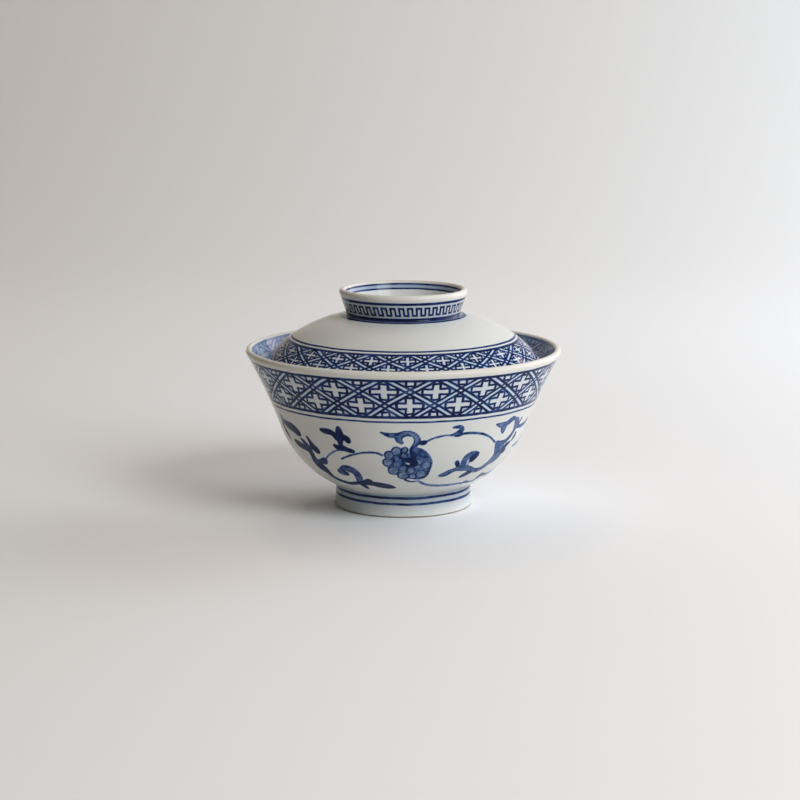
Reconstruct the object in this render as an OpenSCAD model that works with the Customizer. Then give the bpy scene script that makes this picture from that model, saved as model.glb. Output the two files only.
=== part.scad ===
// Lidded porcelain bowl: a flared bowl on a foot ring, and a domed lid with a grip ring.
// Millimetres. The bowl stands on z = 0 and every piece is turned about the Z axis.
// Sections are drawn in a half plane: x is the distance from the axis, y is the height.

/* [Bowl] */
// Outside diameter over the rim
rim_d = 155; // [142:1:170]
// Height of the rim above the table
bowl_h = 79; // [74:1:88]
// Height of the bowl's underside above the table, inside the foot ring
base_lift = 6.5; // [5:0.5:9]
// Thickness of the wall, and of the round lip
wall_t = 3.2; // [2.6:0.1:4]
// Thickness of the floor
floor_t = 5; // [4:0.5:7]
// Outside radius of the belly's curve
belly_r = 52; // [47:1:56]
// Lean of the wall from upright where the belly turns into the flare, in degrees
wall_lean = 20; // [17:1:23]
// Radius of the flare's hollow outside curve
flare_r = 250; // [200:10:350]

/* [Foot ring] */
// Outside diameter of the foot ring at the table
foot_d = 67.6; // [60:0.2:76]
// Thickness of the foot ring
foot_t = 5.2; // [4:0.2:7]
// How much the foot ring draws in from the table to the belly, on the radius
foot_draw = 0.4; // [0:0.1:1.5]
// Bevel on both edges that meet the table
foot_bevel = 0.8; // [0.4:0.1:1.4]

/* [Lid] */
// Depth of the middle of the lid's edge below the top of the rim
seat_depth = 9; // [7:0.5:13]
// Height of the lid's crown above the top of the rim
crown_rise = 16.4; // [12:0.2:22]
// Outside radius of the dome's curve
dome_r = 61; // [54:1:78]
// Thickness of the dome at its round edge
edge_t = 2.8; // [2.2:0.1:3.6]
// Thickness of the dome at its crown
crown_t = 4; // [3.6:0.2:5]

/* [Grip ring] */
// Outside diameter over the grip ring's lip
ring_d = 63; // [54:1:72]
// Height of the grip ring above the crown
ring_h = 12.5; // [9:0.5:16]
// Thickness of the grip ring, and of its round lip
ring_t = 3.1; // [2.4:0.1:4]
// Lean of the grip ring's side from upright, in degrees
ring_lean = 19; // [8:1:24]

/* [Fits] */
// Gap between the lid's edge and the bowl's inside wall
lid_gap = 0.3; // [0.2:0.05:0.6]

/* [Hidden] */
$fn = 180;
// Largest distance between a round stretch of a section and its chords
arc_tol = 0.02;
lip_r = wall_t / 2;
edge_r = edge_t / 2;
ring_lip_r = ring_t / 2;

// Belly and flare: their outside curves touch on the joint line, which runs through both centres
joint_dir = [cos(wall_lean), -sin(wall_lean)];
joint_z = base_lift + belly_r * (1 - sin(wall_lean));
flare_z = joint_z - flare_r * sin(wall_lean);
lip_c = [rim_d / 2 - lip_r, bowl_h - lip_r];
flare_c = [lip_c.x + leg(flare_r + lip_r, lip_c.y - flare_z), flare_z];
belly_c = flare_c - (flare_r + belly_r) * joint_dir;
lip_a = angle_of(lip_c - flare_c);

// The floor is thicker than the wall, so the belly's inside is tighter, with its centre on the joint line
thickening = (floor_t - wall_t) / (1 - sin(wall_lean));
hollow_r = belly_r - wall_t - thickening;
hollow_c = belly_c + thickening * joint_dir;

// Lid: its round edge lies against the flare's inside wall, and the dome's curve touches the edge
crown_z = bowl_h + crown_rise;
edge_z = bowl_h - seat_depth;
edge_c = [flare_c.x - leg(flare_r + wall_t + lid_gap + edge_r, edge_z - flare_c.y), edge_z];
dome_z = crown_z - dome_r;
dome_c = [edge_c.x - leg(dome_r - edge_r, edge_z - dome_z), dome_z];
edge_a = angle_of(edge_c - dome_c);
edge_dir = [cos(edge_a), sin(edge_a)];

// The crown is thicker than the edge, so the lid's inside is tighter, with its centre on the edge's line
crown_thickening = (crown_t - edge_t) / (1 - sin(edge_a));
vault_r = dome_r - edge_t - crown_thickening;
vault_c = dome_c + crown_thickening * edge_dir;

// Grip ring: a leaning wall under a round lip, long enough to reach into the dome, which trims it
ring_lip_c = [ring_d / 2 - ring_lip_r, crown_z + ring_h - ring_lip_r];
ring_across = ring_lip_r * [cos(ring_lean), -sin(ring_lean)];
ring_down = (ring_h + crown_t) * [-sin(ring_lean), -cos(ring_lean)];

// The belly's outside from the underside to the joint line, and its inside from there to the floor
belly_a = -level_angle(belly_c, belly_r);
belly_curve = concat([on_arc(belly_c, belly_r, belly_a)], arc(belly_c, belly_r, belly_a, -wall_lean));
hollow_curve = arc(hollow_c, hollow_r, -wall_lean, -level_angle(hollow_c, hollow_r));

// The dome's outside from its edge to the crown, and its inside from the crown to the edge
dome_curve = concat([edge_c + edge_r * edge_dir], arc(dome_c, dome_r, edge_a, level_angle(dome_c, dome_r)));
vault_a = level_angle(vault_c, vault_r);
vault_curve = concat([on_arc(vault_c, vault_r, vault_a)], arc(vault_c, vault_r, vault_a, edge_a));

// The other short side of a right triangle
function leg(long_side, short_side) = sqrt(long_side * long_side - short_side * short_side);

function angle_of(v) = atan2(v.y, v.x);

function on_arc(c, r, a) = c + r * [cos(a), sin(a)];

// Points along an arc about c, after its first one
function arc(c, r, from, to) =
  let (steps = ceil(abs(to - from) / (2 * acos(1 - arc_tol / r))))
  [for (i = [1:steps]) on_arc(c, r, from + (to - from) * i / steps)];

// How far an arc about c runs from its side: to where it is level, or to the axis if that comes first
function level_angle(c, r) = acos(max(0, -c.x) / r);

// The point on the axis that is level with p
function axis_point(p) = [0, p.y];

function last(points) = points[len(points) - 1];

module glazed() color("whitesmoke") children();

// Up the outside from the underside's middle, over the lip, and down the inside to the floor's middle
module bowl_wall() {
  glazed()
    rotate_extrude()
      polygon(concat(
        [axis_point(belly_curve[0])],
        belly_curve,
        arc(flare_c, flare_r, 180 - wall_lean, lip_a),
        arc(lip_c, lip_r, lip_a - 180, lip_a),
        arc(flare_c, flare_r + wall_t, lip_a, 180 - wall_lean),
        hollow_curve,
        [axis_point(last(hollow_curve))]
      ));
}

// The ring's side is drawn twice as high as it stands, and the belly trims it
module foot_ring() {
  outer = foot_d / 2;
  inner = outer - foot_t;
  foot_h = belly_c.y - leg(belly_r, outer - belly_c.x);
  glazed()
    rotate_extrude()
      difference() {
        polygon([
          [inner + foot_bevel, 0], [outer - foot_bevel, 0], [outer, foot_bevel],
          [outer - 2 * foot_draw, 2 * foot_h], [inner, 2 * foot_h], [inner, foot_bevel]
        ]);
        polygon(concat([axis_point(belly_curve[0])], belly_curve, [[0, joint_z]]));
      }
}

// Down the inside from the crown's middle, round the edge, and up the outside
module lid_dome() {
  glazed()
    rotate_extrude()
      polygon(concat(
        [axis_point(vault_curve[0])],
        vault_curve,
        arc(edge_c, edge_r, edge_a + 180, edge_a + 360),
        dome_curve,
        [axis_point(last(dome_curve))]
      ));
}

module grip_ring() {
  glazed()
    rotate_extrude()
      difference() {
        polygon(concat(
          [for (foot = [ring_down - ring_across, ring_down + ring_across, ring_across]) ring_lip_c + foot],
          arc(ring_lip_c, ring_lip_r, -ring_lean, 180 - ring_lean)
        ));
        polygon(concat([[0, edge_z]], dome_curve, [axis_point(last(dome_curve))]));
      }
}

bowl_wall();
foot_ring();
lid_dome();
grip_ring();
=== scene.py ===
# A lidded porcelain bowl, painted in cobalt blue under a clear glaze. Outlines and painted lines are
# measured in millimetres; finished meshes, the camera and the lights are in metres. The bowl stands on
# z = 0, its axis is Z, and the photograph looks along +Y.
import math

import bmesh
import bpy
import numpy as np
from mathutils import Matrix, Vector
from mathutils.bvhtree import BVHTree


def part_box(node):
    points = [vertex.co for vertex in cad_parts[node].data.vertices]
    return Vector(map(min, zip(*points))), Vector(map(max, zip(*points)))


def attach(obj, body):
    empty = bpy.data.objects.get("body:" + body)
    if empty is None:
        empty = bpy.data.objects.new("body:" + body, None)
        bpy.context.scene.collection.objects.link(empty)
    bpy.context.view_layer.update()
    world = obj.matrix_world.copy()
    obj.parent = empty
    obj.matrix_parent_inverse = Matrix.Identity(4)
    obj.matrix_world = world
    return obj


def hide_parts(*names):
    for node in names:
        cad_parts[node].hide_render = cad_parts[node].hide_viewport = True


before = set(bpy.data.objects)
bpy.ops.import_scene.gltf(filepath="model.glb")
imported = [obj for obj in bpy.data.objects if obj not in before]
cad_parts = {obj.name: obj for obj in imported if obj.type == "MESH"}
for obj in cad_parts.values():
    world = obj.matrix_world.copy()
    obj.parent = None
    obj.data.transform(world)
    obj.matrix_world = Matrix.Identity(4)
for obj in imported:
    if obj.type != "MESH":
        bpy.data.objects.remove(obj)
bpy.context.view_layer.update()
scene = bpy.context.scene
scene.view_settings.view_transform = "Standard"

# Camera
# A long lens, a little above the rim and over a metre away, tilted down at the bowl. Pixels that are named
# below are places in the photograph's square frame.
IMAGE_SIDE = 800
SENSOR_MM = 36
LENS_MM = 99
EYE = Vector((-0.0016, -1.0712, 0.2477))
LOOK_DOWN = math.radians(10.355)
FARTHEST_SEEN = 20
camera = bpy.data.objects.new("photograph_view", bpy.data.cameras.new("photograph_view"))
camera.data.lens = LENS_MM
camera.data.sensor_width = SENSOR_MM
camera.data.clip_end = FARTHEST_SEEN
camera.matrix_world = Matrix.Translation(EYE) @ Matrix.Rotation(math.pi / 2 - LOOK_DOWN, 4, "X")
scene.collection.objects.link(camera)
scene.camera = camera

# Bowl wall
# The thin porcelain wall and floor of the bowl, turned on a wheel: a round belly that runs into a slight
# flare and ends in a rounded lip. A lattice band is painted below the lip inside and out, and a flower
# scroll on the belly, with a brush in cobalt. Then the bowl is dipped in clear glaze and fired.
MM = 0.001
WALL_MM = 3.2
FLOOR_MM = 5.0
BELLY_MM = 52.0
FLARE_MM = 250.0
WALL_LEAN = 20.0
UNDERSIDE_DEGREES = 26
SCROLL_SHARE = 0.42
BOWL_COLUMNS = 600
SECTORS = 24
MERGE_MM = 0.001
CLOSING_MM = 8.0
BAKE_GAP = 0.012


class Section:
    """A turned piece's outline, drawn in millimetres as a wire in the half plane y = 0, then spun about Z."""

    def __init__(self, x, z):
        self.mesh = bmesh.new()
        self.mesh.verts.new((x, 0, z))

    def tip(self):
        self.mesh.verts.ensure_lookup_table()
        return self.mesh.verts[-1]

    def line_to(self, x, z, steps=1):
        step = (Vector((x, 0, z)) - self.tip().co) / steps
        for _ in range(steps):
            grown = bmesh.ops.extrude_vert_indiv(self.mesh, verts=[self.tip()])
            bmesh.ops.translate(self.mesh, verts=grown["verts"], vec=step)
        return self

    def arc(self, centre, degrees, steps):
        """A round stretch about a centre; positive degrees run from +X towards +Z."""
        bmesh.ops.spin(self.mesh, geom=[self.tip()], cent=(centre[0], 0, centre[1]), axis=(0, -1, 0),
                       angle=math.radians(degrees), steps=steps)
        return self

    def arc_towards(self, centre, target, steps):
        """A round stretch about a centre, the short way, up to the line from the centre to a target."""
        here = Vector((self.tip().co.x - centre[0], self.tip().co.z - centre[1]))
        there = Vector((target[0] - centre[0], target[1] - centre[1]))
        return self.arc(centre, math.degrees(there.angle_signed(here)), steps)

    def mark(self):
        """The place on the outline that its lengths count from."""
        self.zero = len(self.mesh.verts) - 1
        return self

    def turned(self, columns, backwards=False, closed=False):
        """Spins the outline into a closed mesh, where along_mm is the length along it from the mark."""
        along = self.mesh.verts.layers.float.new("along_mm")
        verts = list(self.mesh.verts)
        lengths = np.cumsum([0.0] + [(b.co - a.co).length for a, b in zip(verts, verts[1:])])
        for vert, length in zip(verts, lengths - lengths[self.zero]):
            vert[along] = -length if backwards else length
        if closed:
            self.mesh.edges.new((verts[-1], verts[0]))
        about_axis = {"cent": (0, 0, 0), "axis": (0, 0, 1)}
        bmesh.ops.spin(self.mesh, geom=[*self.mesh.verts, *self.mesh.edges], **about_axis,
                       angle=math.tau / SECTORS, steps=columns // SECTORS)
        bmesh.ops.spin(self.mesh, geom=[*self.mesh.verts, *self.mesh.edges, *self.mesh.faces], **about_axis,
                       angle=math.tau, steps=SECTORS, use_duplicate=True, use_merge=True)
        bmesh.ops.remove_doubles(self.mesh, verts=self.mesh.verts, dist=MERGE_MM)
        bmesh.ops.scale(self.mesh, verts=self.mesh.verts, vec=(MM, MM, MM))
        bmesh.ops.recalc_face_normals(self.mesh, faces=self.mesh.faces)
        for face in self.mesh.faces:
            face.smooth = True
        return self.mesh


def flattened(mesh, *strips):
    """Lays the faces out flat in the OFBake map, for a baked picture of the finish. Each strip is a stretch
    of the outline, from and to a length in millimetres, with the number of parts it is cut into round the
    piece, and the height of a part as a share of the picture. A face longer than CLOSING_MM is one that
    closes the outline."""
    flat = mesh.loops.layers.uv.new("OFBake")
    along = mesh.verts.layers.float["along_mm"]
    lengths_of = {}
    for face in mesh.faces:
        lengths = [vert[along] for vert in face.verts]
        if max(lengths) - min(lengths) > CLOSING_MM:
            lengths = [min(lengths)] * len(lengths)
        lengths_of[face] = lengths
    base = 0.0
    for start, end, parts, share in strips:
        faces = [face for face, lengths in lengths_of.items() if start <= sum(lengths) / len(lengths) < end]
        low = min(min(lengths_of[face]) for face in faces)
        high = max(max(lengths_of[face]) for face in faces)
        for face in faces:
            centre = face.calc_center_median()
            heading = math.atan2(centre.y, centre.x) % math.tau
            part = int(heading / math.tau * parts)
            for loop, length in zip(face.loops, lengths_of[face]):
                place = loop.vert.co
                swing = 0
                if place.xy.length > MM:
                    swing = math.remainder(math.atan2(place.y, place.x) - heading, math.tau)
                across = (heading + swing) / math.tau * parts - part
                up = base + share * (part + BAKE_GAP + (1 - 2 * BAKE_GAP) * (length - low) / (high - low))
                loop[flat].uv = (BAKE_GAP + (1 - 2 * BAKE_GAP) * across, up)
        base += share * parts


def as_piece(name, mesh, body, node, material):
    """Makes a finished mesh the piece that stands for a CAD node."""
    data = bpy.data.meshes.new(name)
    mesh.to_mesh(data)
    data.materials.append(material)
    piece = bpy.data.objects.new(name, data)
    scene.collection.objects.link(piece)
    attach(piece, body)
    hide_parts(node)


bowl_low, bowl_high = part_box("bowl_wall")
lip_mm = WALL_MM / 2
base_z = bowl_low.z / MM
lip_centre = (bowl_high.x / MM - lip_mm, bowl_high.z / MM - lip_mm)
lean_sin, lean_cos = math.sin(math.radians(WALL_LEAN)), math.cos(math.radians(WALL_LEAN))
joint_z = base_z + BELLY_MM * (1 - lean_sin)
flare_z = joint_z - FLARE_MM * lean_sin
flare_centre = (lip_centre[0] + math.sqrt((FLARE_MM + lip_mm) ** 2 - (lip_centre[1] - flare_z) ** 2), flare_z)
belly_centre = (flare_centre[0] - (FLARE_MM + BELLY_MM) * lean_cos, base_z + BELLY_MM)
lip_turn = math.degrees(math.atan2(lip_centre[1] - flare_centre[1], lip_centre[0] - flare_centre[0]))
flare_turn = 180 - WALL_LEAN - lip_turn
thickening = (FLOOR_MM - WALL_MM) / (1 - lean_sin)
hollow_centre = (belly_centre[0] + thickening * lean_cos, belly_centre[1] - thickening * lean_sin)

bowl_section = Section(0, base_z)
bowl_section.line_to(belly_centre[0], base_z, 2).arc(belly_centre, UNDERSIDE_DEGREES, 8)
bowl_section.arc(belly_centre, 90 - UNDERSIDE_DEGREES - WALL_LEAN, 60)
bowl_section.arc(flare_centre, -flare_turn * SCROLL_SHARE, 25)
bowl_section.arc(flare_centre, -flare_turn * (1 - SCROLL_SHARE), 10)
bowl_section.arc(lip_centre, 270 - lip_turn, 7).mark().arc(lip_centre, lip_turn - 90, 7)
bowl_section.arc(flare_centre, flare_turn, 14).arc(hollow_centre, WALL_LEAN - 90, 18)
bowl_section.line_to(0, base_z + FLOOR_MM, 2)
bowl_mesh = bowl_section.turned(BOWL_COLUMNS, backwards=True)
bowl_tree = BVHTree.FromBMesh(bowl_mesh)

# Vertices of the belly's outside, where the scroll is painted: degrees round from the front, millimetres down
# from the lip along the wall, and millimetres from the axis and above the table
SCROLL_TOP_MM = 27.0
SCROLL_END_MM = 88.0
PAINT_LAYERS = ("ink_mm", "wash_mm", "wash_tone")
for layer_name in PAINT_LAYERS:
    bowl_mesh.verts.layers.float.new(layer_name)
along_layer = bowl_mesh.verts.layers.float["along_mm"]
ink_layer, wash_layer, tone_layer = (bowl_mesh.verts.layers.float[name] for name in PAINT_LAYERS)
painted = [v for v in bowl_mesh.verts if SCROLL_TOP_MM < v[along_layer] < SCROLL_END_MM]
wall_turn = np.degrees([math.atan2(v.co.x, -v.co.y) for v in painted])
wall_along = np.array([v[along_layer] for v in painted])
wall_radius = np.array([v.co.xy.length / MM for v in painted])
wall_height = np.array([v.co.z / MM for v in painted])
row_heights, first_rows = np.unique(wall_height.round(4), return_index=True)

# What the brush leaves on them: millimetres to the edge of full cobalt and of thinned cobalt, and how dark
# the thinned cobalt is
FAR_MM = 6.0
HALF_DARK = 0.5
ink = np.full(len(painted), FAR_MM)
wash = np.full(len(painted), FAR_MM)
tone = np.full(len(painted), HALF_DARK)
REPEAT_DEGREES = 180
FINEST_HALF_MM = 0.38
OUTLINE_HALF_MM = 0.36
MOST_STRETCH = 1.5
FRONT_MM_PER_PIXEL = 0.49
NARROWEST_MM = 35
INWARD_PIXELS = 0.4
CURVE_STEP = 0.2


def on_wall(x, y):
    """Where a pixel of the photograph falls on the belly: degrees round from the front, and millimetres
    along. A pixel beside the bowl is moved in until it falls on it."""
    hit = None
    while hit is None:
        ray = Vector(((x / IMAGE_SIDE - 0.5) * SENSOR_MM, (0.5 - y / IMAGE_SIDE) * SENSOR_MM, -LENS_MM))
        hit = bowl_tree.ray_cast(EYE, camera.matrix_world.to_3x3() @ ray)[0]
        x += math.copysign(INWARD_PIXELS, IMAGE_SIDE / 2 - x)
    along = np.interp(hit.z / MM, row_heights, wall_along[first_rows])
    return np.array((math.degrees(math.atan2(hit.x, -hit.y)), along))


def laid(stroke):
    """A brush stroke laid on the belly: degrees round, millimetres along and half widths, from its pixels."""
    pixels = np.array(stroke)
    places = np.array([on_wall(x, y) for x, y, _ in stroke])
    headings = np.gradient(pixels[:, :2], axis=0)
    headings /= np.linalg.norm(headings, axis=1)[:, None]
    halves = []
    for (x, y, width), (turn, along), heading in zip(stroke, places, headings):
        radius = np.interp(along, wall_along[first_rows][::-1], wall_radius[first_rows][::-1])
        edge_turn, edge_along = on_wall(x - heading[1], y + heading[0]) - (turn, along)
        edge_round = min(abs(math.radians(edge_turn)) * radius, MOST_STRETCH * FRONT_MM_PER_PIXEL)
        halves.append(max(FINEST_HALF_MM, width / 2 * math.hypot(edge_round, edge_along)))
    knots = np.column_stack((places, halves))
    knots = np.vstack((2 * knots[0] - knots[1], knots, 2 * knots[-1] - knots[-2]))
    curve = []
    for before, start, end, after in zip(knots, knots[1:], knots[2:], knots[3:]):
        for t in np.arange(0, 1, CURVE_STEP):
            curve.append(0.5 * (2 * start + (end - before) * t
                                + (2 * before - 5 * start + 4 * end - after) * t ** 2
                                + (3 * start - before - 3 * end + after) * t ** 3))
    return np.array(curve + [knots[-2]])


def reach(strokes):
    """Millimetres from each painted vertex to the edge of the nearest of some strokes, negative inside."""
    nearest = np.full(len(painted), FAR_MM)
    for stroke in strokes:
        turn, along, half = laid(stroke).T
        middle = turn.mean()
        round_wall = (wall_turn - middle + REPEAT_DEGREES / 2) % REPEAT_DEGREES - REPEAT_DEGREES / 2
        margin = FAR_MM + half.max()
        close = (np.abs(round_wall) < np.ptp(turn) / 2 + np.degrees(margin / NARROWEST_MM)) \
            & (wall_along > along.min() - margin) & (wall_along < along.max() + margin)
        mm_per_degree = np.radians(1) * wall_radius[close, None]
        x, y = round_wall[close, None] * mm_per_degree, wall_along[close, None]
        x0, x1 = (turn[:-1] - middle) * mm_per_degree, (turn[1:] - middle) * mm_per_degree
        y0, y1 = along[:-1], along[1:]
        share = ((x - x0) * (x1 - x0) + (y - y0) * (y1 - y0)) / ((x1 - x0) ** 2 + (y1 - y0) ** 2)
        share = np.clip(share, 0, 1)
        gaps = np.hypot(x - x0 - share * (x1 - x0), y - y0 - share * (y1 - y0))
        gaps -= half[:-1] + share * (half[1:] - half[:-1])
        nearest[close] = np.minimum(nearest[close], gaps.min(axis=1))
    return nearest


def dark(*strokes):
    """Full strokes of cobalt."""
    np.minimum(ink, reach(strokes), out=ink)


def washed(darkness, *strokes, outline_mm=OUTLINE_HALF_MM):
    """A shape outlined in cobalt and filled with thinned cobalt, over what is already there."""
    shape = reach(strokes)
    ink[:] = np.minimum(np.maximum(ink, -shape), np.abs(shape + outline_mm) - outline_mm)
    wash[:] = np.minimum(wash, shape)
    tone[shape < 0] = darkness


def faint(darkness, *strokes):
    """Strokes of thinned cobalt, with no outline."""
    shape = reach(strokes)
    wash[:] = np.minimum(wash, shape)
    tone[shape < OUTLINE_HALF_MM] = darkness


def reserved(*strokes):
    """A place wiped clean of cobalt."""
    shape = reach(strokes)
    ink[:] = np.maximum(ink, -shape)
    wash[:] = np.maximum(wash, -shape)


# The scroll's strokes: pixel across, pixel down and width in pixels of points that the brush went through
edge_leaf = [(281.5, 416, 2.2), (283, 420, 3), (287, 424, 4.6), (292.4, 427.4, 5.4), (297, 431.4, 5.2),
             (299.8, 433.8, 2.4)]
edge_leaf_vein = [(283.6, 424.5, 3), (285.6, 429, 3.4), (288, 433.6, 3), (290.6, 438.5, 2)]
dark(edge_leaf, edge_leaf_vein)

left_tip = [(295.8, 441.2, 2.6), (299.4, 444, 4.2), (304.9, 447.2, 4), (310, 450, 4)]
middle_tip = [(301.6, 439.3, 2), (305.4, 443.3, 3.2), (309.7, 449, 4.2)]
right_tip = [(307, 437, 1.8), (310.3, 442, 3.2), (313, 446.5, 4.8), (316.4, 450, 5), (317.6, 451.4, 3)]
left_stem = [(309, 448.5, 4), (311, 452, 4.6), (313.4, 456.5, 4.4), (316.8, 461.8, 6), (320.2, 465.3, 7),
             (324.4, 468.8, 5.6), (328.2, 472, 3.6), (332.5, 475.9, 2.6), (338.4, 479.3, 2.4),
             (344.5, 481.8, 2.3), (350.7, 483.3, 2.2), (356.8, 483.1, 2.5), (361, 482.4, 3)]
left_knob = [(318.6, 462.4, 4.6), (322.2, 461.2, 4.8), (325.2, 459.8, 3), (325.6, 463.4, 2.4)]
left_tendril = [(325.7, 459.5, 1.8), (328.2, 455.8, 1.7), (332.3, 452.5, 1.6), (336.4, 450.5, 1.6),
                (341, 449.2, 1.6)]
dark(left_tip, middle_tip, right_tip, left_stem, left_knob)
faint(0.84, left_tendril)

upper_left_leaf = [(321, 429.9, 3), (324.6, 430.9, 5), (329.7, 431.9, 5), (333.8, 434.5, 4.6),
                   (337.2, 438.2, 5)]
upper_top_leaf = [(338.2, 428.3, 4.4), (338.9, 431.8, 6.6), (339.9, 436.4, 7.2), (339.9, 440.5, 6),
                  (340.3, 444, 3.8), (341.2, 447, 4.6)]
upper_right_lobe = [(342.5, 436, 4), (346.4, 438.8, 5.6), (348.2, 441, 4.6)]
upper_left_lobe = [(334.8, 445.6, 3), (338.2, 447.6, 4.6), (341.5, 448.2, 5.4)]
upper_low_leaf = [(341.5, 447, 5), (345.6, 449.2, 4.6), (350.7, 450.8, 4.2), (353.4, 451.5, 3)]
flower_left_vine = [(382, 455.2, 2.4), (376.7, 453.1, 2.1), (369, 452.5, 2), (361.4, 453, 2),
                    (353.7, 454.5, 1.9), (346.6, 456.7, 1.9), (341.5, 458.8, 1.7)]
dark(upper_left_leaf, upper_top_leaf, upper_right_lobe, upper_left_lobe, upper_low_leaf)
faint(0.88, flower_left_vine)

low_curl = [(345.6, 473.1, 4), (341.3, 471.8, 4.2), (340.6, 469.6, 3.6), (344, 467.9, 4.4), (349, 469, 5.6),
            (353.9, 471.3, 5.6), (357.8, 475.3, 5), (359.8, 479.6, 4.6), (361.6, 483, 4)]
low_curl_tail = [(361, 483.2, 3), (364.4, 485.9, 2.4), (367.6, 488, 1.6)]
low_curl_knob = [(364, 483, 3.5), (366.6, 482, 4.4), (369, 480.8, 4.4)]
low_long_leaf = [(362, 482.8, 3), (371.6, 483.7, 4), (377, 484.6, 4.6), (382.7, 485.7, 5),
                 (388.8, 486.6, 4.2), (393.2, 487.4, 2.2)]
washed(0.9, low_curl)
dark(low_curl_tail, low_curl_knob, low_long_leaf)

DAB_PIXELS = 0.3
PETAL_OUTLINE_MM = 0.45


def petal(x, y, radius):
    """A round petal, as a very short stroke."""
    return [(x, y - DAB_PIXELS, 2 * radius), (x, y + DAB_PIXELS, 2 * radius)]


flower_back = [(398, 462.5, 19), (417, 464, 20)]
flower_low_back = [(394, 468.6, 9), (404, 473.4, 9), (413, 475.2, 8), (420.6, 475, 8.6), (425.6, 469.4, 8),
                   (427.6, 463, 7)]
flower_side = [(413, 451, 6), (418, 452, 9), (423.6, 456.4, 11), (427, 463.4, 11), (423.4, 471.4, 11)]
outer_petals = [(426.2, 465.4, 5.4), (403, 475.4, 5.8), (393.6, 470.8, 5.9), (412.4, 476.4, 4.4),
                (421, 474, 5.8), (404.8, 450.2, 3.8), (389.2, 455.4, 5.3), (387.6, 462.6, 5.5),
                (396.4, 451.4, 5.5)]
inner_petals = [(396.8, 458.7, 1.7), (396.3, 464.2, 1.9), (404.4, 455.9, 2), (403.6, 468.6, 2.2),
                (410.7, 470.8, 2.2), (418.2, 467.2, 2), (419.4, 461.6, 1.7), (410.4, 455.2, 1.5)]
flower_heart = [(405.2, 461.2, 6.6), (409.4, 461.6, 8.4), (412.6, 463.6, 9)]
heart_spot = [(406, 463.2, 1.4), (408.8, 464, 1.8)]
washed(0.95, flower_back, flower_low_back)
washed(0.84, flower_side)
for place in outer_petals:
    washed(0.56, petal(*place), outline_mm=PETAL_OUTLINE_MM)
faint(0.62, *(petal(*place) for place in inner_petals))
dark(flower_heart)
reserved(heart_spot)

top_wedge = [(380.2, 432.3, 1), (384.2, 433.8, 3), (388.4, 435.1, 4.4), (394.4, 435.6, 4.8)]
top_curl = [(401.4, 442.6, 4.4), (398.6, 439.6, 7), (398.6, 436.4, 7.4), (402, 434.4, 5.8),
            (407.8, 433.1, 5), (413.8, 434.8, 5.4), (417, 438.6, 7), (416.7, 442.6, 6.2), (414.3, 446.2, 5),
            (412.2, 448.6, 4.4)]
top_curl_root = [(412.4, 448.4, 4.4), (412, 451.4, 5.6), (414.2, 455.4, 4.6)]
top_curl_streak = [(399.4, 440.4, 1.2), (399.6, 437.2, 1.4), (403, 434.6, 1.2), (408, 433.4, 1.2),
                   (413, 435.2, 1.6), (415.8, 438.8, 2.2), (415.4, 442.4, 1.8), (413.6, 445, 1.2)]
top_curl_line = [(401.4, 442, 1.4), (401.2, 439.4, 1.8), (403, 437, 1.8), (406.6, 435.7, 1.3),
                 (410.4, 436, 1)]
top_curl_spot = [(396.2, 434.6, 3.6), (398.2, 434.4, 3)]
washed(0.88, top_wedge, top_curl)
faint(0.66, top_curl_streak)
faint(0.96, top_curl_root)
dark(top_curl_line, top_curl_spot)

top_bud = [(420.2, 443.3, 3.2), (423.4, 442.8, 5), (426.4, 441.9, 3)]
top_vine = [(427, 441.4, 2), (433.7, 438.3, 1.9), (439.3, 436.8, 1.9), (445.4, 435.5, 1.9),
            (450.5, 435.2, 1.9)]
hook_bud = [(453.4, 427.6, 1.4), (456.7, 427, 3), (460.2, 426.9, 4), (462, 428.7, 4.6), (460.4, 431.3, 4.6),
            (457.4, 433.5, 4.2), (453.6, 434.8, 3.2), (450.5, 435.3, 1.8)]
hook_bud_foot = [(455.5, 435.6, 2.6), (459.4, 435.3, 2.6), (462.8, 433.8, 2.4)]
hook_vine = [(462.6, 433.8, 2.4), (469.7, 433, 2.4), (476.2, 433, 2.4), (482.7, 433.8, 2.4),
             (487.5, 435.6, 2.3), (491.5, 438.3, 2.2), (494.8, 442, 2.2)]
dark(top_bud)
faint(0.86, top_vine)
faint(0.9, hook_vine)
washed(0.84, hook_bud, hook_bud_foot)

calyx_to_long_leaf = [(496.8, 442.8, 4), (498.4, 446.6, 7.6), (499, 450.4, 8.8), (496.9, 454.8, 8),
                      (493.9, 458.2, 6), (490.5, 461.1, 4.2), (486.2, 464.4, 3.1), (481.8, 467.6, 2.9),
                      (476.4, 470, 3), (471.9, 469.8, 3.8), (467.5, 468.2, 4.6), (462.1, 468.2, 5),
                      (457.8, 468.5, 4.2), (453.4, 470.2, 3.4), (448.6, 472.3, 4.2), (443.4, 474.7, 4.2),
                      (439.3, 475.6, 1.6)]
branch_to_hook = [(498, 443.2, 3.4), (502.5, 442.5, 3), (506.3, 440.2, 2.7), (510.1, 436.1, 2.7),
                  (513, 431.8, 2.9), (514.9, 428, 3.6), (516.4, 424.1, 5), (516.9, 420.6, 5.2),
                  (515.7, 418.5, 3.6), (513, 418.9, 3.2), (509.7, 421.3, 3.6), (506.5, 423.8, 3.6),
                  (502.5, 424.9, 4.2), (499, 425, 3.4), (496.5, 424.2, 1.4)]
hook_lobe = [(505, 424.6, 4.5), (503.9, 427.2, 5.6), (503.3, 430, 4), (502.9, 432, 2.4)]
upright_leaf = [(465, 468.6, 5), (464.8, 464.5, 6.4), (466.4, 460.6, 7.4), (469.2, 457.2, 7.4),
                (473.5, 454.6, 6), (478.2, 452.9, 2.2)]
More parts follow.
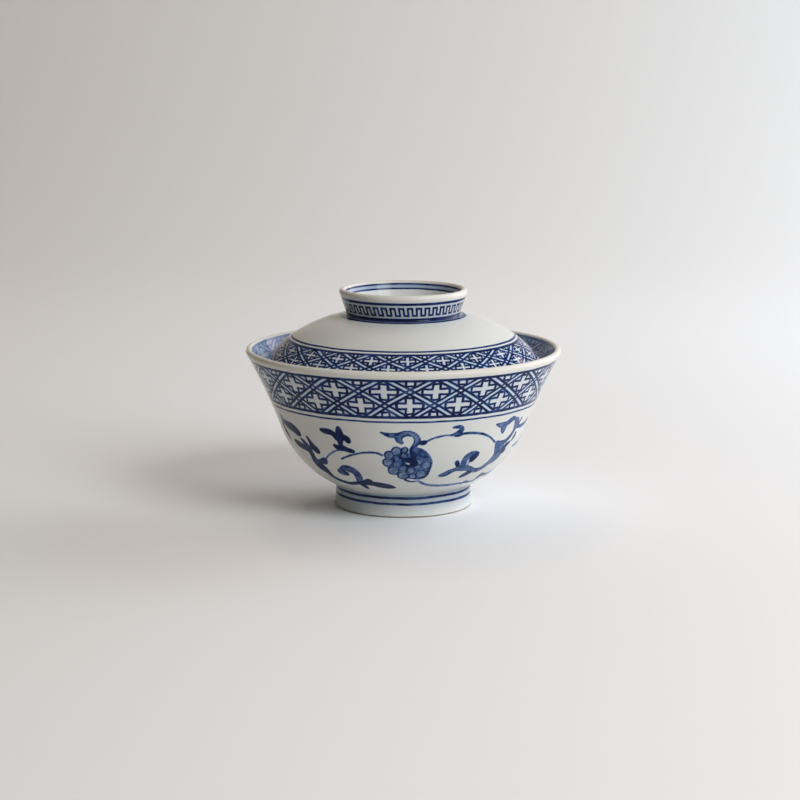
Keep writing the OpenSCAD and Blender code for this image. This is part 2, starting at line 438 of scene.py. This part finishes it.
upright_leaf_shade = [(478.2, 453.4, 2), (475.6, 455.4, 4.8), (472.8, 458.2, 5), (470.9, 460.8, 2.6)]
upright_leaf_light = [(468.6, 460, 0.7), (467.6, 462.6, 0.8), (467.1, 464.4, 0.6)]
washed(0.74, calyx_to_long_leaf, branch_to_hook, hook_lobe, upright_leaf)
dark(upright_leaf_shade)
reserved(upright_leaf_light)

leaf_knob = [(456.9, 461.8, 4), (457.3, 463.9, 5), (458.2, 466.5, 3)]
leaf_spur = [(459.9, 477, 1.6), (464.3, 474.6, 3), (469.3, 472.2, 2.8)]
calyx_leaf = [(503.6, 446.8, 2.2), (506.6, 444.4, 3), (509.4, 442, 1.6)]
calyx_knob = [(501.5, 451, 3), (503.2, 450.6, 3)]
branch_leaf = [(511.8, 439.5, 1.6), (514, 436.2, 2.4), (515.6, 432.6, 1.8)]
right_tip_leaf = [(518.6, 423.5, 1.8), (520.2, 420.6, 1.8), (522, 417.2, 1.4)]
right_leaf = [(517.5, 426.3, 2), (521, 425.2, 2.2), (524.6, 422.4, 2.2), (527.6, 418.2, 1.2)]
right_tendril = [(512.5, 445.7, 1.6), (515.9, 442.9, 1.6), (519.7, 439.4, 1.5), (522.1, 435.7, 1.4),
                 (524.3, 432, 1.2)]
low_right_vine = [(418.2, 481, 2), (423.5, 483.7, 2), (430.1, 485.2, 2), (438.8, 485.6, 2),
                  (446.9, 485.1, 1.8), (452.9, 484.3, 1.6), (459.5, 483.2, 1.4)]
low_right_leaf = [(460.8, 483.6, 1.2), (464.3, 481.9, 1.8), (468.1, 481.8, 1.4), (471.9, 480.8, 1.4),
                  (475.7, 478.7, 1.6), (478.4, 476.5, 2.2), (480.8, 474.6, 2.2), (484.9, 474.2, 1.4),
                  (488.8, 472.4, 1.2), (492.6, 470.6, 1)]
flower_mark = [(405, 479.8, 1.8), (407.7, 480.9, 1.6), (411.7, 481.8, 1.4), (415.8, 481.2, 1.4)]
dark(leaf_knob, leaf_spur, calyx_leaf, calyx_knob, branch_leaf, right_tip_leaf)
faint(0.85, right_leaf, low_right_leaf, flower_mark)
faint(0.68, right_tendril, low_right_vine)

for vert in bowl_mesh.verts:
    vert[ink_layer] = vert[wash_layer] = FAR_MM
for vert, ink_mm, wash_mm, darkness in zip(painted, ink, wash, tone):
    vert[ink_layer] = ink_mm
    vert[wash_layer] = wash_mm
    vert[tone_layer] = darkness


class Shade:
    """One socket of a material. Sums and products of shades add Math nodes, and node() adds other nodes."""

    def __init__(self, tree, socket=None):
        self.tree = tree
        self.socket = socket

    def node(self, kind, settings, values, output=0):
        made = self.tree.nodes.new(kind)
        for name, setting in settings.items():
            if name == "stops":
                while len(made.color_ramp.elements) < len(setting):
                    made.color_ramp.elements.new(1.0)
                for element, (position, colour) in zip(made.color_ramp.elements, setting):
                    element.position = position
                    element.color = (*colour, 1)
            else:
                setattr(made, name, setting)
        for name, value in values.items():
            if isinstance(value, Shade):
                self.tree.links.new(value.socket, made.inputs[name])
            else:
                made.inputs[name].default_value = value
        return Shade(self.tree, made.outputs[output])

    def math(self, operation, *values):
        return self.node("ShaderNodeMath", {"operation": operation}, dict(enumerate(values)))

    def __add__(self, other):
        return self.math("ADD", self, other)

    def __sub__(self, other):
        return self.math("SUBTRACT", self, other)

    def __rsub__(self, other):
        return self.math("SUBTRACT", other, self)

    def __mul__(self, other):
        return self.math("MULTIPLY", self, other)

    def __truediv__(self, other):
        return self.math("DIVIDE", self, other)

    def __neg__(self):
        return self.math("MULTIPLY", self, -1)

    def __abs__(self):
        return self.math("ABSOLUTE", self)

    __radd__ = __add__
    __rmul__ = __mul__

    def least(self, other):
        return self.math("MINIMUM", self, other)

    def most(self, other):
        return self.math("MAXIMUM", self, other)

    def off_whole(self):
        """What is left over the nearest whole number, from -0.5 to 0.5."""
        return self - self.math("ROUND", self)

    def under(self, limit, soft):
        """1 where the shade is below a limit and 0 above it, with a soft step."""
        return self.node("ShaderNodeMapRange", {}, {
            "Value": self, "From Min": limit + soft / 2, "From Max": limit - soft / 2,
            "To Min": 0.0, "To Max": 1.0})

    def colours(self, *stops):
        return self.node("ShaderNodeValToRGB", {"stops": stops}, {"Fac": self})

    def mixed(self, one, two):
        """One colour where the shade is 0, the other where it is 1."""
        return self.node("ShaderNodeMix", {"data_type": "RGBA"}, {0: self, 6: one, 7: two}, 2)


class Surface:
    """A material under way, with what its patterns read: the place on the piece, and along_mm."""

    def __init__(self, name):
        self.material = bpy.data.materials.new(name)
        self.material.use_nodes = True
        self.shade = Shade(self.material.node_tree)
        self.place = self.shade.node("ShaderNodeTexCoord", {}, {}, "Object")
        split = self.shade.node("ShaderNodeSeparateXYZ", {}, {0: self.place})
        x, y, z = (Shade(split.tree, socket) for socket in split.socket.node.outputs)
        self.z_mm = z / MM
        self.turn = self.shade.math("ARCTAN2", x, -y) / math.tau
        self.along = self.attribute("along_mm")

    def attribute(self, name):
        return self.shade.node("ShaderNodeAttribute", {"attribute_name": name}, {}, "Fac")

    def noise(self, size_mm, detail=2.0):
        """Cloudy variation about 0, most of it between -0.2 and 0.2, with clouds of about a size."""
        made = self.shade.node("ShaderNodeTexNoise", {}, {"Vector": self.place, "Scale": 1 / (size_mm * MM),
                                                          "Detail": detail})
        return made - 0.5


LINE_SOFT_MM = 0.3
CROSS_ROUGH_MM = 0.8
CROSS_TINT = 0.035
CORNER_TINT = 0.15
CORNER_UNEVEN = 0.5
BAR_TINT = 0.09
COBALT_FULL = 0.97
COBALT_UNEVEN = 0.5
COBALT_STEPS = ((0.0, (1.0, 1.0, 1.0)), (0.1, (0.77, 0.92, 1.13)), (0.25, (0.56, 0.67, 0.90)),
                (0.6, (0.14, 0.22, 0.45)), (0.8, (0.06, 0.126, 0.34)), (0.92, (0.014, 0.041, 0.18)),
                (1.0, (0.004, 0.014, 0.085)))
GLAZE_WHITE = (0.69, 0.695, 0.68)
GLAZE_COOL = (0.665, 0.685, 0.68)
GLAZE_CREAM = (0.735, 0.715, 0.665)
# Blue grey of pooled glaze, used as well for painted shade on the foot ring and the grip ring
GLAZE_POOL_AND_SHADE = (0.33, 0.40, 0.45)
GLAZE_IOR = 1.5
GLAZE_GLOSS = 0.14
GLAZE_ROUGH = 0.09
GLAZE_ROUGH_SPREAD = 0.06
GLAZE_RELIEF_MM = 0.05
GLAZE_RELIEF_SHOWN = 0.25
# Bare clay, its colour made darker to stand also for painted shadow where the foot meets the table
BARE_CLAY_AND_SHADOW = (0.27, 0.23, 0.18)
BARE_ROUGHER = 0.6


def stripes(along, *lines):
    """Brushed lines right round a turned piece, each with its middle, its thickness and how dark it is."""
    brushed = None
    for middle_mm, thick_mm, darkness in lines:
        line = abs(along - middle_mm).under(thick_mm / 2, LINE_SOFT_MM) * darkness
        brushed = brushed.most(line) if brushed else line
    return brushed


def lattice(surface, along, wobble, repeats, cross_degrees, cross_mm, wide_mm, high_mm, bar_mm, line_mm,
            arms):
    """Diagonal white bars with dark edges, and a white cross in each lozenge. Gives how dark the cobalt is.
    One cross lies at cross_degrees and cross_mm; a lozenge is twice wide_mm and high_mm; arms are half the
    cross's sizes."""
    arm_long, arm_thin, arm_high, arm_broad = arms
    round_wall = surface.turn * repeats + (wobble / (2 * wide_mm) - cross_degrees / 360 * repeats)
    up_wall = (along + wobble * 0.7 - cross_mm) / (2 * high_mm)
    rising = (round_wall + up_wall).off_whole()
    falling = (round_wall - up_wall).off_whole()
    per_unit = 2 * wide_mm * high_mm / math.hypot(wide_mm, high_mm)
    rising_bar = (0.5 - abs(rising)) * per_unit
    falling_bar = (0.5 - abs(falling)) * per_unit
    across = abs(rising + falling) * wide_mm
    up = abs(rising - falling) * high_mm
    cross = (across - arm_long).most(up - arm_thin).least((across - arm_broad).most(up - arm_high))
    cross = cross + surface.noise(3) * CROSS_ROUGH_MM
    edges = abs(rising_bar - (bar_mm + line_mm / 2)).least(abs(falling_bar - (bar_mm + line_mm / 2)))
    edges = edges.least(abs(cross - line_mm / 2)).under(line_mm / 2, LINE_SOFT_MM)
    bars = rising_bar.least(falling_bar).under(bar_mm + line_mm / 2, LINE_SOFT_MM)
    corners = (-cross).under(-line_mm / 2, LINE_SOFT_MM) * (1 - bars)
    tint = CROSS_TINT + corners * (CORNER_TINT + CORNER_UNEVEN * surface.noise(7)) + bars * BAR_TINT
    return edges.most(tint)


def glazed(surface, cobalt, pool_and_shade, lip=None, bare=None, gloss=GLAZE_GLOSS):
    """Finishes a material: cobalt under glaze, pooled glaze and painted shade, a thin lip, and bare clay."""
    strength = cobalt * (COBALT_FULL + COBALT_UNEVEN * surface.noise(5))
    colour = (surface.noise(30) + 0.5).mixed((*GLAZE_WHITE, 1), (*GLAZE_COOL, 1))
    # Pooled glaze and painted shade: the mask darkens the glaze towards a blue grey
    colour = pool_and_shade.mixed(colour, (*GLAZE_POOL_AND_SHADE, 1))
    roughness = GLAZE_ROUGH + GLAZE_ROUGH_SPREAD * surface.noise(9)
    if lip:
        colour = lip.mixed(colour, (*GLAZE_CREAM, 1))
    colour = strength.node("ShaderNodeMix", {"data_type": "RGBA", "blend_type": "MULTIPLY"}, {
        0: 1.0, 6: colour, 7: strength.colours(*COBALT_STEPS)}, 2)
    if bare:
        # Where the glaze is wiped off: bare clay, whose colour also carries painted shadow at the table
        colour = bare.mixed(colour, (*BARE_CLAY_AND_SHADOW, 1))
        roughness = roughness + bare * BARE_ROUGHER
    pits = surface.noise(1.2, 3.0) * 0.2
    waves = surface.noise(14) * 2
    normal = surface.shade.node("ShaderNodeBump", {}, {
        "Strength": GLAZE_RELIEF_SHOWN, "Distance": GLAZE_RELIEF_MM * MM, "Height": pits + waves}, "Normal")
    shader = surface.material.node_tree.nodes["Principled BSDF"]
    for socket, value in (("Base Color", colour), ("Roughness", roughness), ("Normal", normal)):
        surface.material.node_tree.links.new(value.socket, shader.inputs[socket])
    shader.inputs["IOR"].default_value = GLAZE_IOR
    shader.inputs["Specular IOR Level"].default_value = gloss
    return surface.material


INSIDE_SHIFT_MM = 3.2
INSIDE_FROM_MM = -1.6
INSIDE_THINNED = 0.43
INSIDE_WASH = 0.3
INSIDE_WASH_UNEVEN = 0.6
BAND_MIDDLE_MM = 15.85
BAND_HALF_MM = 10.1
BAND_LINES = ((5.65, 1.5, 1.0), (26.5, 1.6, 1.0), (29.2, 1.0, 0.9))
BRUSH_ROUGH_MM = 0.5
INK_SOFT_MM = 0.4
WASH_SOFT_MM = 0.5
WASH_UNEVEN = 1.2
FOOT_CORNER_MM = 99
bowl_surface = Surface("painted_bowl_glaze")
along_bowl = bowl_surface.along
sway = bowl_surface.noise(11) * 1.4
either_side = along_bowl.most(INSIDE_SHIFT_MM - along_bowl)
band_along = either_side + sway * 0.5
band = abs(band_along - BAND_MIDDLE_MM).under(BAND_HALF_MM, LINE_SOFT_MM)
bowl_lattice = lattice(bowl_surface, either_side, sway, repeats=19, cross_degrees=-7.0, cross_mm=12.1,
                       wide_mm=11.9, high_mm=8.0, bar_mm=0.55, line_mm=1.3, arms=(5.7, 0.95, 3.9, 1.3))
brush = bowl_surface.noise(2.5) * BRUSH_ROUGH_MM
ink_mask = (bowl_surface.attribute("ink_mm") + brush).under(0.0, INK_SOFT_MM)
wash_mask = (bowl_surface.attribute("wash_mm") + brush).under(0.0, WASH_SOFT_MM)
wash_depth = bowl_surface.attribute("wash_tone") * (1.0 + WASH_UNEVEN * bowl_surface.noise(2.8))
scroll = ink_mask.most(wash_mask * wash_depth)
inside = along_bowl.under(INSIDE_FROM_MM, 0.4)
inside_wash = inside * (INSIDE_WASH + INSIDE_WASH_UNEVEN * bowl_surface.noise(6))
inside_thinned = 1 - INSIDE_THINNED * inside
bowl_band = (bowl_lattice * inside_thinned).most(inside_wash) * band
bowl_cobalt = bowl_band.most(stripes(band_along, *BAND_LINES) * inside_thinned).most(scroll)
bowl_pooled = abs(along_bowl - FOOT_CORNER_MM).under(5.5, 4.5) * 0.5
bowl_lip = abs(along_bowl - 0.9).under(3.0, 1.4)
flattened(bowl_mesh, (2, FOOT_CORNER_MM, 2, 0.385), (-28, 2, 1, 0.12), (-200, -28, 1, 0.07),
          (FOOT_CORNER_MM, 200, 1, 0.04))
as_piece("porcelain_bowl", bowl_mesh, "bowl", "bowl_wall",
         glazed(bowl_surface, bowl_cobalt, bowl_pooled, bowl_lip))

# Foot ring
# The low ring that the bowl stands on, thrown apart and luted under the belly. Glaze pools in the corner
# between them, and the ring is painted darker towards its top as shade under the belly. The glaze is
# wiped off the edge that stands on the kiln shelf, so that edge is bare clay, darkened as painted shadow
# where it meets the table.
FOOT_MM = 5.2
FOOT_DRAW_MM = 0.4
FOOT_ROUND_MM = 0.8
FOOT_POOL_MM = 1.8
FOOT_COLUMNS = 360
FOOT_LINES = ((6.8, 1.2, 1.0), (9.75, 1.2, 1.0))
FOOT_LINE_DARK = 0.92
WIPED_MM = 0.75


def pool_centre(on_side, along_side, outward, radius, centre, curve_mm):
    """The centre of the small hollow curve of glaze that touches a straight side and a round wall."""
    start = Vector(on_side) + Vector(outward) * radius - Vector(centre)
    ahead = start.dot(Vector(along_side))
    travel = -ahead - math.sqrt(ahead ** 2 - start.length_squared + (curve_mm + radius) ** 2)
    return Vector(centre) + start + Vector(along_side) * travel


foot_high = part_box("foot_ring")[1]
foot_outer = foot_high.x / MM
foot_inner = foot_outer - FOOT_MM
side_up = Vector((-FOOT_DRAW_MM, foot_high.z / MM)).normalized()
side_out = Vector((side_up.y, -side_up.x))
outer_pool = pool_centre((foot_outer, 0), side_up, side_out, FOOT_POOL_MM, belly_centre, BELLY_MM)
inner_pool = pool_centre((foot_inner, 0), (0, 1), (-1, 0), FOOT_POOL_MM, belly_centre, BELLY_MM)
inner_touch = inner_pool + (Vector(belly_centre) - inner_pool).normalized() * FOOT_POOL_MM

# Between the two pools the outline runs inside the belly, where it doesn't show
foot_section = Section(foot_inner + FOOT_ROUND_MM, 0)
foot_section.line_to(foot_outer - FOOT_ROUND_MM, 0, 3)
foot_section.arc((foot_outer - FOOT_ROUND_MM, FOOT_ROUND_MM), 90, 5).mark()
foot_section.line_to(*(outer_pool - side_out * FOOT_POOL_MM), 6).arc_towards(outer_pool, belly_centre, 10)
foot_section.line_to(foot_section.tip().co.x - 1, foot_section.tip().co.z + 1)
foot_section.line_to(inner_touch.x + 0.5, inner_touch.y + 1.2, 3).line_to(*inner_touch)
foot_section.arc_towards(inner_pool, inner_pool + Vector((1, 0)), 10).line_to(foot_inner, FOOT_ROUND_MM, 4)
foot_section.arc((foot_inner + FOOT_ROUND_MM, FOOT_ROUND_MM), 90, 5)
foot_mesh = foot_section.turned(FOOT_COLUMNS)

foot_surface = Surface("foot_glaze")
foot_sway = foot_surface.noise(11) * 0.9
outside = (-foot_surface.along).under(0.0, 0.1)
foot_lines = stripes(foot_surface.z_mm + foot_sway, *FOOT_LINES) * outside * FOOT_LINE_DARK
# Painted shade under the overhanging belly, darker towards the top, with pooled glaze in the corner
foot_shade_and_pool = (-foot_surface.z_mm).under(-5.2, 9.0)
wiped = (foot_surface.z_mm + foot_surface.noise(5) * 0.8).under(WIPED_MM, 0.3)
flattened(foot_mesh, (0, 13, 2, 0.3), (-20, 0, 1, 0.2), (13, 60, 1, 0.2))
as_piece("porcelain_foot", foot_mesh, "bowl", "foot_ring",
         glazed(foot_surface, foot_lines, foot_shade_and_pool, bare=wiped))

# Lid
# The domed cover, thrown like the bowl, whose round edge rests inside the bowl's flare. Its painted band
# repeats the bowl's lattice more tightly, and a line runs round the grip ring.
EDGE_MM = 2.8
CROWN_MM = 4.0
DOME_MM = 61.0
LID_COLUMNS = 432
LID_BAND_MIDDLE_MM = 10.6
LID_BAND_HALF_MM = 7.8
LID_BAND_LINES = ((2.9, 0.8, 1.0), (17.9, 1.4, 1.0), (20.15, 1.1, 0.97))
LID_CORNER_LINES = ((47.1, 2.0, 1.0), (48.4, 2.6, 0.45))
LID_CORNER_MM = 48.5
LID_GLOSS = 0.09
lid_low, lid_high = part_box("lid_dome")
edge_centre = Vector((lid_high.x / MM - EDGE_MM / 2, lid_low.z / MM + EDGE_MM / 2))
crown_z = lid_high.z / MM
dome_z = crown_z - DOME_MM
dome_reach = math.sqrt((DOME_MM - EDGE_MM / 2) ** 2 - (edge_centre.y - dome_z) ** 2)
dome_centre = Vector((edge_centre.x - dome_reach, dome_z))
edge_out = (edge_centre - dome_centre).normalized()
edge_degrees = math.degrees(math.atan2(edge_out.y, edge_out.x))
vault_centre = dome_centre + edge_out * ((CROWN_MM - EDGE_MM) / (1 - edge_out.y))

lid_section = Section(0, crown_z - CROWN_MM).line_to(vault_centre.x, crown_z - CROWN_MM, 3)
lid_section.arc(vault_centre, edge_degrees - 90, 30).arc(edge_centre, 180, 12).mark()
lid_section.arc(dome_centre, 90 - edge_degrees, 48).line_to(0, crown_z, 3)
lid_mesh = lid_section.turned(LID_COLUMNS)

lid_surface = Surface("painted_lid_glaze")
along_lid = lid_surface.along
lid_sway = lid_surface.noise(10) * 1.0
lid_outside = (-along_lid).under(0.0, 0.1)
lid_band_along = along_lid + lid_sway * 0.5
lid_band = abs(lid_band_along - LID_BAND_MIDDLE_MM).under(LID_BAND_HALF_MM, LINE_SOFT_MM)
lid_lattice = lattice(lid_surface, along_lid, lid_sway, repeats=22, cross_degrees=1.8, cross_mm=14.0,
                      wide_mm=8.57, high_mm=4.75, bar_mm=0.42, line_mm=1.05, arms=(3.2, 0.46, 2.4, 0.56))
lid_lines = stripes(lid_band_along, *LID_BAND_LINES)
lid_lines = lid_lines.most(stripes(along_lid + lid_sway * 0.2, *LID_CORNER_LINES))
lid_cobalt = (lid_lattice * lid_band).most(lid_lines) * lid_outside
lid_pooled = abs(along_lid - LID_CORNER_MM).under(1.6, 1.0) * lid_outside
flattened(lid_mesh, (-1, 22, 4, 0.18), (22, 120, 1, 0.18), (-120, -1, 1, 0.1))
as_piece("porcelain_lid", lid_mesh, "lid", "lid_dome",
         glazed(lid_surface, lid_cobalt, lid_pooled, gloss=LID_GLOSS))

# Grip ring
# The flared ring on the crown, thrown apart and luted on, by which the lid is lifted. A key fret runs round
# it between two lines, glaze pools in its corner with the dome, and its outer side is painted darker below
# the lip as shade.
RING_MM = 3.1
RING_LEAN = 19.0
RING_POOL_MM = 1.0
RING_COLUMNS = 360
ring_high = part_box("grip_ring")[1]
ring_lip = RING_MM / 2
ring_lip_centre = Vector((ring_high.x / MM - ring_lip, ring_high.z / MM - ring_lip))
ring_down = Vector((-math.sin(math.radians(RING_LEAN)), -math.cos(math.radians(RING_LEAN))))
ring_out = Vector((-ring_down.y, ring_down.x))
outer_side = ring_lip_centre + ring_out * ring_lip
inner_side = ring_lip_centre - ring_out * ring_lip
ring_outer_pool = pool_centre(outer_side, ring_down, ring_out, RING_POOL_MM, dome_centre, DOME_MM)
ring_inner_pool = pool_centre(inner_side, ring_down, -ring_out, RING_POOL_MM, dome_centre, DOME_MM)
ring_touch = ring_outer_pool + (dome_centre - ring_outer_pool).normalized() * RING_POOL_MM

# The outline starts and ends inside the dome, where it doesn't show
ring_section = Section(ring_touch.x - 0.6, ring_touch.y - 1.2).line_to(*ring_touch)
ring_section.arc_towards(ring_outer_pool, ring_outer_pool - ring_out, 10).line_to(*outer_side, 8)
ring_section.arc(ring_lip_centre, 90 + RING_LEAN, 9).mark().arc(ring_lip_centre, 90 - RING_LEAN, 7)
ring_section.line_to(*(ring_inner_pool + ring_out * RING_POOL_MM), 8)
ring_section.arc_towards(ring_inner_pool, dome_centre, 8)
ring_section.line_to(ring_section.tip().co.x + 0.6, ring_section.tip().co.z - 1.2)
ring_mesh = ring_section.turned(RING_COLUMNS, backwards=True, closed=True)

FRET_REPEATS = 44
FRET_STEP_MM = 4.35
FRET_TOP_MM = 7.45
FRET_LOW_MM = 11.2
FRET_LINE_MM = 1.1
FRET_SLANT = -0.03
RING_TOP_LINE = (5.2, 1.35, 1.0)
RING_LINES = ((13.65, 1.9, 1.0), (-2.6, 0.95, 1.0), (-4.9, 0.9, 1.0), (-3.7, 2.0, 0.3), (14.8, 2.4, 0.45))
ring_surface = Surface("painted_grip_glaze")
along_ring = ring_surface.along
ring_sway = ring_surface.noise(6) * 0.8
fret_along = along_ring + ring_sway * 0.5
fret_turn = ring_surface.turn * FRET_REPEATS + (fret_along - FRET_TOP_MM) * FRET_SLANT + ring_sway * 0.2
half_turn = (fret_turn * 2).off_whole()
upper_half = fret_turn.off_whole().under(0.0, 0.04)
uprights = abs(half_turn) * (FRET_STEP_MM / 2)
fret_middle = (FRET_TOP_MM + FRET_LOW_MM) / 2
within = abs(fret_along - fret_middle).under((FRET_LOW_MM - FRET_TOP_MM + FRET_LINE_MM) / 2, LINE_SOFT_MM)
tops = abs(fret_along - FRET_TOP_MM).under(FRET_LINE_MM / 2, LINE_SOFT_MM) * upper_half
lows = abs(fret_along - FRET_LOW_MM).under(FRET_LINE_MM / 2, LINE_SOFT_MM) * (1 - upper_half)
fret = (uprights.under(FRET_LINE_MM / 2, LINE_SOFT_MM) * within).most(tops).most(lows)
ring_lines = stripes(along_ring + ring_sway * 0.4, RING_TOP_LINE)
ring_lines = ring_lines.most(stripes(along_ring + ring_sway * 0.2, *RING_LINES))
# Painted shade on the outer side, which faces down below the lip, with glaze pooled where it meets the dome
ring_side_shade_and_pool = (-along_ring).under(-4.4, 3.6) * 0.55
inner_pooled = along_ring.under(-12.0, 1.5) * 0.6
ring_lip_thin = abs(along_ring - 0.9).under(2.8, 1.4)
flattened(ring_mesh, (0, 40, 4, 0.18), (-40, 0, 1, 0.28))
as_piece("porcelain_grip", ring_mesh, "lid", "grip_ring",
         glazed(ring_surface, fret.most(ring_lines), ring_side_shade_and_pool.most(inner_pooled), ring_lip_thin))

# Table and light
# A pale sweep of paper under and behind the bowl. Windows light it softly from the front, the right and
# behind, a ceiling lamp and a shelf lamp add warm light from above, and two lamps brighten the paper.
SWEEP_LEFT, SWEEP_WIDE = -3.0, 6.0
SWEEP_FRONT, SWEEP_BACK = -2.5, 0.9
SWEEP_ROUND, SWEEP_HIGH = 0.8, 1.5
PAPER_PALE = (0.88, 0.88, 0.885)
PAPER_BOUNCE = (0.84, 0.825, 0.79)
PAPER_ROUGH = 0.7
ROOM_SEEN = (0.55, 0.54, 0.53)
ROOM_GLOW = (1.0, 0.9, 0.8)
ROOM_GLOW_STRENGTH = 0.02
sweep = bmesh.new()
sweep.verts.new((SWEEP_LEFT, SWEEP_FRONT, 0))


def sweep_edge(vec):
    """Draws the sweep's side edge on from its last point."""
    sweep.verts.ensure_lookup_table()
    grown = bmesh.ops.extrude_vert_indiv(sweep, verts=[sweep.verts[-1]])
    bmesh.ops.translate(sweep, verts=grown["verts"], vec=vec)
    sweep.verts.ensure_lookup_table()


def looked_at(shade):
    """1 on rays that the camera sends, straight or by way of the glaze, and 0 on light that bounces about."""
    kinds = ("Camera", "Glossy", "Transmission")
    camera_ray, glossy_ray, transmission_ray = (
        shade.node("ShaderNodeLightPath", {}, {}, f"Is {kind} Ray") for kind in kinds)
    return camera_ray + glossy_ray + transmission_ray


sweep_edge((0, SWEEP_BACK - SWEEP_FRONT, 0))
bmesh.ops.spin(sweep, geom=[sweep.verts[-1]], cent=(0, SWEEP_BACK, SWEEP_ROUND), axis=(1, 0, 0),
               angle=math.pi / 2, steps=24)
sweep_edge((0, 0, SWEEP_HIGH))
grown = bmesh.ops.extrude_edge_only(sweep, edges=sweep.edges)
far_side = [v for v in grown["geom"] if isinstance(v, bmesh.types.BMVert)]
bmesh.ops.translate(sweep, verts=far_side, vec=(SWEEP_WIDE, 0, 0))
bmesh.ops.recalc_face_normals(sweep, faces=sweep.faces)
for face in sweep.faces:
    face.smooth = True
sweep_data = bpy.data.meshes.new("paper_sweep")
sweep.to_mesh(sweep_data)
paper_sweep = bpy.data.objects.new("paper_sweep", sweep_data)
scene.collection.objects.link(paper_sweep)
paper = bpy.data.materials.new("paper")
paper.use_nodes = True
paper_shader = paper.node_tree.nodes["Principled BSDF"]
paper_colour = looked_at(Shade(paper.node_tree)).mixed((*PAPER_BOUNCE, 1), (*PAPER_PALE, 1))
paper.node_tree.links.new(paper_colour.socket, paper_shader.inputs["Base Color"])
paper_shader.inputs["Roughness"].default_value = PAPER_ROUGH
paper_sweep.data.materials.append(paper)


def soft_light(name, place, wide, high, watts, colour, aim=(0, 0, 0.05), in_glaze=True):
    """A rectangle of light that faces the bowl, or another place, and is mirrored in the glaze or not."""
    lamp = bpy.data.objects.new(name, bpy.data.lights.new(name, "AREA"))
    lamp.data.shape = "RECTANGLE"
    lamp.data.size = wide
    lamp.data.size_y = high
    lamp.data.energy = watts
    lamp.data.color = colour
    lamp.location = place
    lamp.rotation_euler = (Vector(aim) - lamp.location).to_track_quat("-Z", "Y").to_euler()
    lamp.visible_glossy = in_glaze
    scene.collection.objects.link(lamp)


soft_light("front_window", (0.92, -0.95, 0.9), wide=0.7, high=0.9, watts=18.0, colour=(0.935, 0.965, 0.985))
soft_light("side_window", (1.39, 0.65, 0.44), wide=1.4, high=0.9, watts=14.2, colour=(1.0, 0.88, 0.91))
soft_light("back_window", (0.91, 1.17, 0.62), wide=1.4, high=0.9, watts=4.2, colour=(0.54, 0.82, 0.95),
           in_glaze=False)
soft_light("paper_lamp", (0.7, 0.45, 0.55), wide=0.4, high=0.4, watts=1.6, colour=(0.62, 0.82, 1.0),
           aim=(0.4, 0.32, 0), in_glaze=False)
soft_light("backdrop_lamp", (0, 0.6, 1.3), wide=0.6, high=0.6, watts=0.55, colour=(0.65, 0.88, 1.0),
           aim=(0, 1.3, 0.2), in_glaze=False)
soft_light("ceiling_lamp", (0, 0.2, 1.9), wide=2.0, high=2.0, watts=6.5, colour=(1.0, 0.72, 0.4))
soft_light("shelf_lamp", (-0.25, 1.0, 1.42), wide=0.3, high=0.3, watts=2.0, colour=(1.0, 0.79, 0.62),
           in_glaze=False)
world = bpy.data.worlds.new("room")
world.use_nodes = True
room = world.node_tree.nodes["Background"]
room.inputs["Color"].default_value = (*ROOM_SEEN, 1)
path = Shade(world.node_tree)
room_seen = Shade(world.node_tree, room.outputs[0])
room_glow = path.node("ShaderNodeBackground", {}, {"Color": (*ROOM_GLOW, 1), "Strength": ROOM_GLOW_STRENGTH})
lit_room = path.node("ShaderNodeMixShader", {}, {0: looked_at(path), 1: room_glow, 2: room_seen})
world.node_tree.links.new(lit_room.socket, world.node_tree.nodes["World Output"].inputs["Surface"])
scene.world = world
